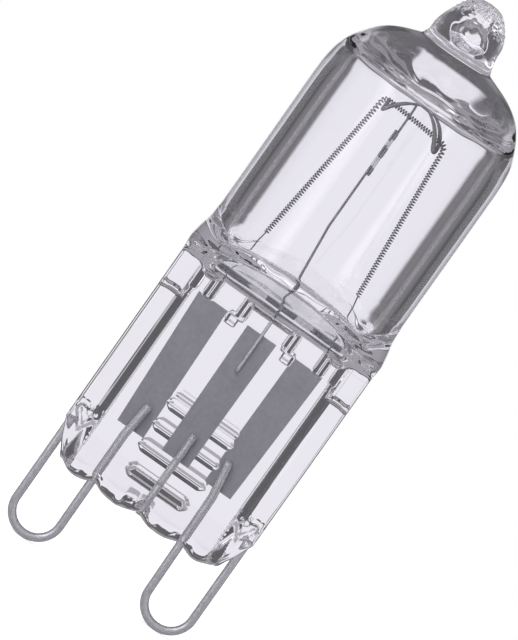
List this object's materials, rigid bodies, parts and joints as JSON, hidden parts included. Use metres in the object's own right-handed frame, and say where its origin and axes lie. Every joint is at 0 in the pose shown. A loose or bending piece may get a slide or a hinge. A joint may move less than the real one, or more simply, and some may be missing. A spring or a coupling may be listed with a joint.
{
  "type": "halogen capsule bulb",
  "caption": "Clear quartz capsule bulb with a pinched foot, a hung coil filament, sealing foils and wire contact loops.",
  "frame": {"origin": "middle of the pinch's foot, midway between the two contact loops", "axes": "+Z along the bulb towards its sealed tip, X across the two loops, -Y towards the front"},
  "size_m": [0.0128, 0.012, 0.0391],
  "materials": {
    "quartz": "clear gloss",
    "contact_wire": "drawn wire, satin",
    "sealing_foil": "matt rolled foil",
    "filament_wire": "dark coiled wire",
    "support_wire": "dark drawn wire"
  },
  "bodies": {
    "root": {"glass_envelope": "quartz", "contact_loop_left": "contact_wire", "contact_loop_right": "contact_wire", "centre_lead": "contact_wire", "foil_left": "sealing_foil", "foil_centre": "sealing_foil", "foil_right": "sealing_foil", "filament": "filament_wire", "support_post": "support_wire", "support_stem": "support_wire", "filament_hook": "support_wire"}
  },
  "joints": []
}
